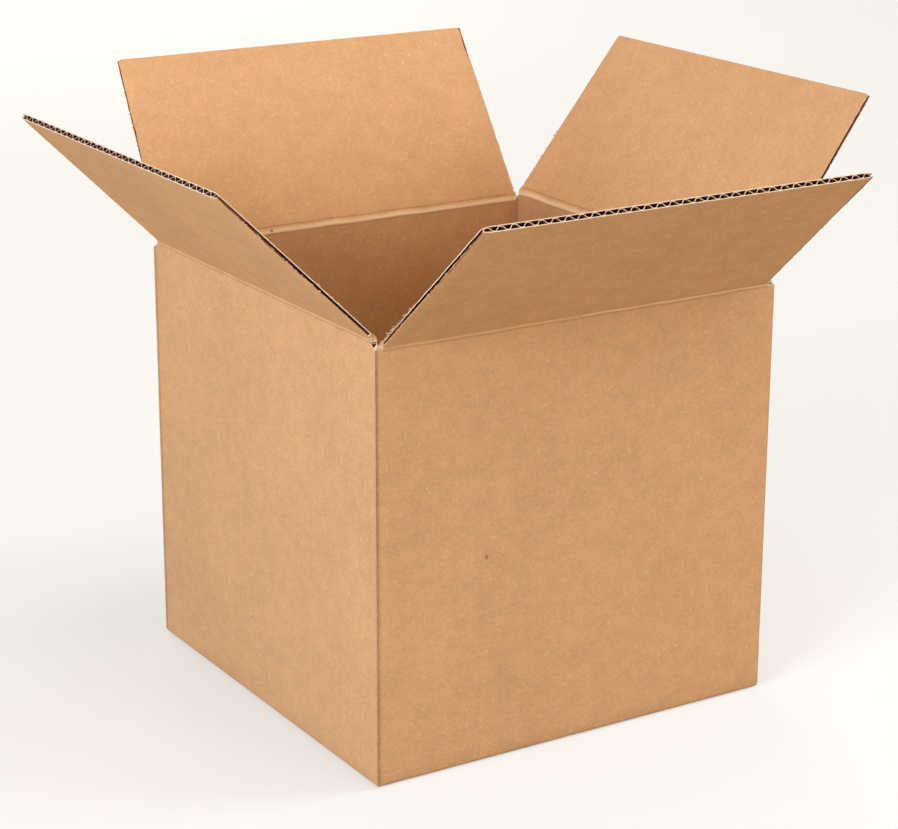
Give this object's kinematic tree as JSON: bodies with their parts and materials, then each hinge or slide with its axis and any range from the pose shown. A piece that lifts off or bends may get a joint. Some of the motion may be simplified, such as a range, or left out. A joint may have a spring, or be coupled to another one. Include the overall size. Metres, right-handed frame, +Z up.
{
  "type": "open cardboard box",
  "caption": "Open square corrugated cardboard box with its top flaps spread outwards on hinge creases; holds goods for packing and shipping.",
  "frame": {"origin": "centre of the base, on the surface that the box stands on", "axes": "+Z up; -Y is out of the front wall, -X is out of the left wall"},
  "size_m": [0.4177, 0.4126, 0.3501],
  "materials": {
    "kraft_board": "matt brown kraft paper"
  },
  "bodies": {
    "carton_body": {"carton_body": "kraft_board"},
    "front_flap": {"front_flap": "kraft_board"},
    "back_flap": {"back_flap": "kraft_board"},
    "left_flap": {"left_flap": "kraft_board"},
    "right_flap": {"right_flap": "kraft_board"}
  },
  "joints": [
    {"name": "front_flap_hinge", "type": "hinge", "parent": "carton_body", "child": "front_flap", "pos_m": [0, -0.13095, 0.2479], "axis": [1, 0, 0], "range_deg": [-138.5, 121.5]},
    {"name": "back_flap_hinge", "type": "hinge", "parent": "carton_body", "child": "back_flap", "pos_m": [0, 0.13095, 0.2479], "axis": [-1, 0, 0], "range_deg": [-122, 138]},
    {"name": "left_flap_hinge", "type": "hinge", "parent": "carton_body", "child": "left_flap", "pos_m": [-0.13095, 0, 0.252], "axis": [0, -1, 0], "range_deg": [-135.5, 124.5]},
    {"name": "right_flap_hinge", "type": "hinge", "parent": "carton_body", "child": "right_flap", "pos_m": [0.13095, 0, 0.252], "axis": [0, 1, 0], "range_deg": [-127.5, 132.5]}
  ]
}
